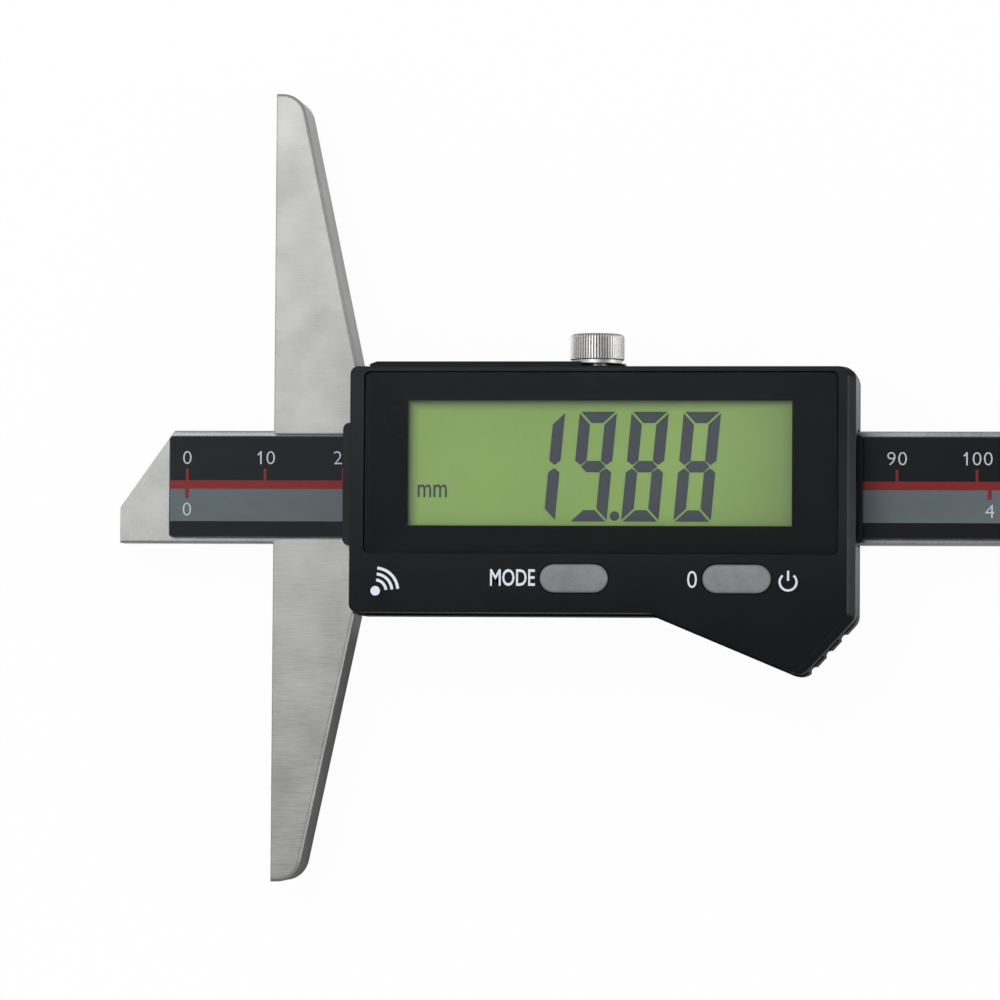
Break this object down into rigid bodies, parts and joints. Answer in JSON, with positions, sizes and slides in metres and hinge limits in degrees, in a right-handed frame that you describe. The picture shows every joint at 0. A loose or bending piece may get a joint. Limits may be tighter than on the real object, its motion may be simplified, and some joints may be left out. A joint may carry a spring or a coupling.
{
  "type": "depth caliper",
  "caption": "Digital depth caliper: tapered cross base, black display unit with keys and locking screw, and a steel beam with a printed scale that slides through both.",
  "frame": {"origin": "middle of the beam's width in the measuring face of the base, at the level of the back it rests on", "axes": "+X out of the measuring face's back, along the beam towards the display; +Y across the beam towards the locking screw; +Z out of the display"},
  "size_m": [0.234, 0.1, 0.0159],
  "materials": {
    "ground_steel": "ground, fine grain along the beam",
    "base_steel": "ground, fine grain",
    "frame_steel": "milled",
    "screw_steel": "plain",
    "knob_steel": "turned and knurled, bright",
    "pad_brass": "plain",
    "scale_laminate": "glass fibre laminate",
    "label_film": "printed film, satin",
    "housing_black": "moulded, satin",
    "seal_rubber": "soft, matt",
    "wiper_rubber": "matt",
    "window_clear": "clear, glossy",
    "gasket_foil": "matt",
    "lcd_glass": "grey green",
    "reflector_foil": "foil",
    "holder_plastic": "moulded",
    "contact_rubber": "soft",
    "board_laminate": "glass fibre laminate with solder mask",
    "chip_resin": "moulded",
    "switch_plastic": "moulded",
    "button_rubber": "grey, matt",
    "cell_steel": "nickel plated",
    "contact_metal": "plated spring strip"
  },
  "bodies": {
    "slider": {"depth_base": "base_steel", "base_screws": "screw_steel", "slider_frame": "frame_steel", "frame_screws": "screw_steel", "gib_strip": "frame_steel", "gib_screws": "screw_steel", "rear_housing": "housing_black", "front_housing": "housing_black", "housing_seal": "seal_rubber", "housing_screws": "screw_steel", "display_window": "window_clear", "window_gasket": "gasket_foil", "lcd_panel": "lcd_glass", "lcd_reflector": "reflector_foil", "lcd_holder": "holder_plastic", "contact_strips": "contact_rubber", "circuit_board": "board_laminate", "controller_chip": "chip_resin", "mode_switch": "switch_plastic", "zero_switch": "switch_plastic", "battery_cell": "cell_steel", "battery_spring": "contact_metal", "battery_clip": "contact_metal", "battery_cover": "housing_black", "battery_seal": "seal_rubber", "battery_cover_screws": "screw_steel", "entry_wiper": "wiper_rubber", "exit_wiper": "wiper_rubber"},
    "beam": {"main_beam": "ground_steel", "scale_grid": "scale_laminate", "scale_label": "label_film", "end_stop": "frame_steel", "end_stop_screws": "screw_steel"},
    "lock_pad": {"lock_pad": "pad_brass"},
    "lock_screw": {"lock_screw": "knob_steel"},
    "mode_button": {"mode_button": "button_rubber"},
    "zero_button": {"zero_button": "button_rubber"}
  },
  "joints": [
    {"name": "beam_slide", "type": "slide", "parent": "slider", "child": "beam", "axis": [1, 0, 0], "range_m": [-0.13012, 0.01988]},
    {"name": "lock_feed", "type": "slide", "parent": "slider", "child": "lock_pad", "axis": [0, -1, 0], "range_m": [-0.00045, 0.0001125]},
    {"name": "lock_turn", "type": "hinge", "parent": "lock_pad", "child": "lock_screw", "pos_m": [0.04085, 0.016, 0.00495], "axis": [0, -1, 0], "range_deg": [-360, 90]},
    {"name": "mode_press", "type": "slide", "parent": "slider", "child": "mode_button", "axis": [0, 0, -1], "range_m": [0, 0.0005], "stiffness_N_per_m": 600, "springref_m": -0.0005},
    {"name": "zero_press", "type": "slide", "parent": "slider", "child": "zero_button", "axis": [0, 0, -1], "range_m": [0, 0.0005], "stiffness_N_per_m": 600, "springref_m": -0.0005}
  ],
  "couplings": [
    {"joint": "lock_turn", "follows": "lock_feed", "rad_per_m": 13963}
  ]
}
